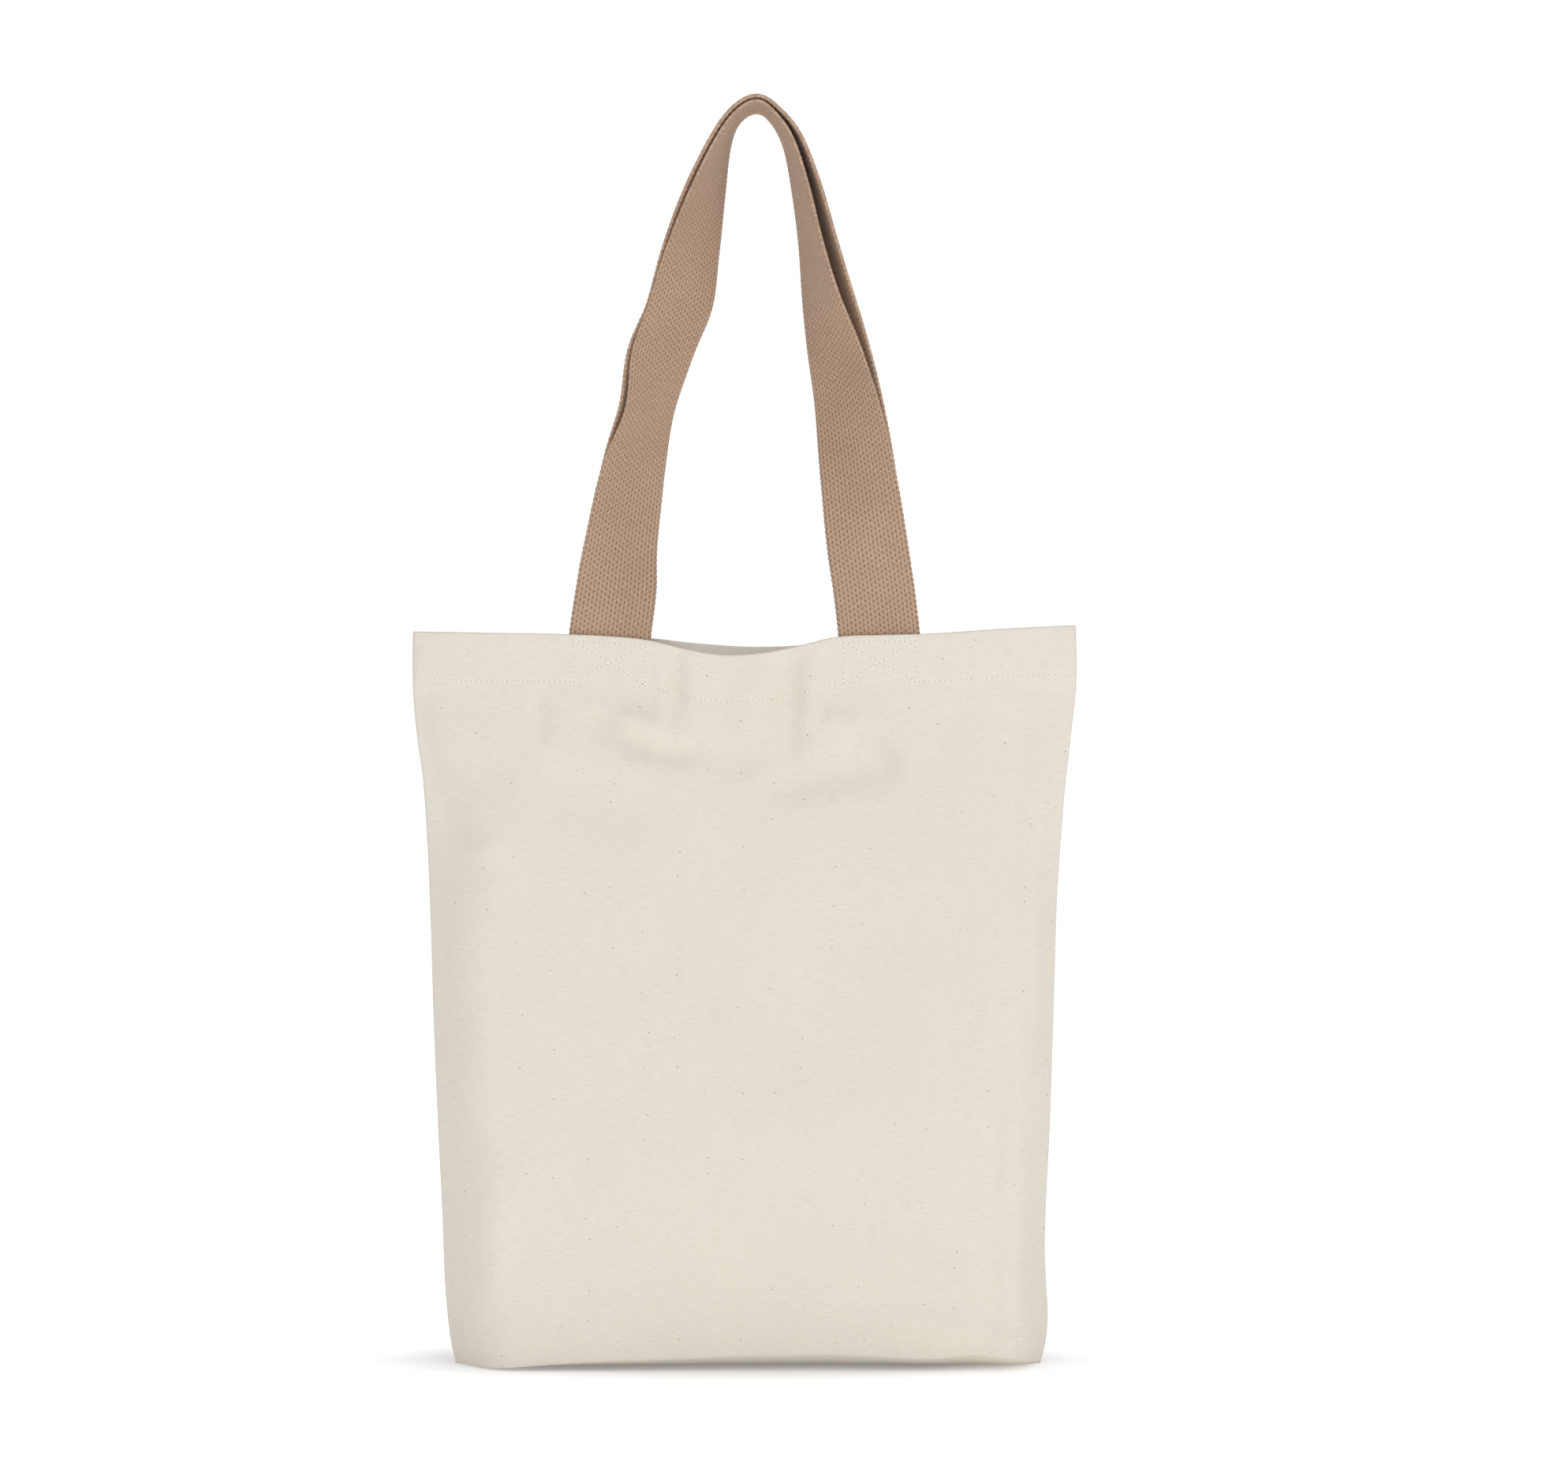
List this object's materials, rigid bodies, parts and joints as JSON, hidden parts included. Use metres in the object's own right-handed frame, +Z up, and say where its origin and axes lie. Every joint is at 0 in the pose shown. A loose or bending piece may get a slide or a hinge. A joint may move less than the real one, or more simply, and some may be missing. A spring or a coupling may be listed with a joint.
{
  "type": "tote bag",
  "caption": "Flat canvas tote bag with a boxed bottom, an open hemmed mouth and long webbing handles sewn inside the hem.",
  "frame": {"origin": "middle of the flat bottom, on the surface the bag stands on", "axes": "+Z up through the mouth to the top of the handles, +X along the width to the right as seen from the front, the front panel faces -Y"},
  "size_m": [0.38, 0.072, 0.7256],
  "materials": {
    "canvas": "unbleached plain-weave cotton canvas",
    "webbing": "tan cotton webbing",
    "thread": "spun sewing thread"
  },
  "bodies": {
    "bag": {"front_panel": "canvas", "back_panel": "canvas", "front_left_strap_end": "webbing", "front_right_strap_end": "webbing", "back_left_strap_end": "webbing", "back_right_strap_end": "webbing", "front_left_box_stitching": "thread", "front_right_box_stitching": "thread", "back_left_box_stitching": "thread", "back_right_box_stitching": "thread", "front_hem_stitching": "thread", "back_hem_stitching": "thread", "left_side_seam": "thread", "right_side_seam": "thread", "bottom_seam": "thread", "left_corner_seam": "thread", "right_corner_seam": "thread", "left_side_overlock": "thread", "right_side_overlock": "thread", "bottom_overlock": "thread", "left_corner_overlock": "thread", "right_corner_overlock": "thread"},
    "front_handle": {"front_handle": "webbing"},
    "back_handle": {"back_handle": "webbing"}
  },
  "joints": [
    {"name": "front_handle_swing", "type": "hinge", "parent": "bag", "child": "front_handle", "pos_m": [0, -0.0088, 0.4173], "axis": [1, 0, 0], "range_deg": [0, 160]},
    {"name": "back_handle_swing", "type": "hinge", "parent": "bag", "child": "back_handle", "pos_m": [0, 0.0088, 0.4173], "axis": [-1, 0, 0], "range_deg": [0, 160]}
  ]
}
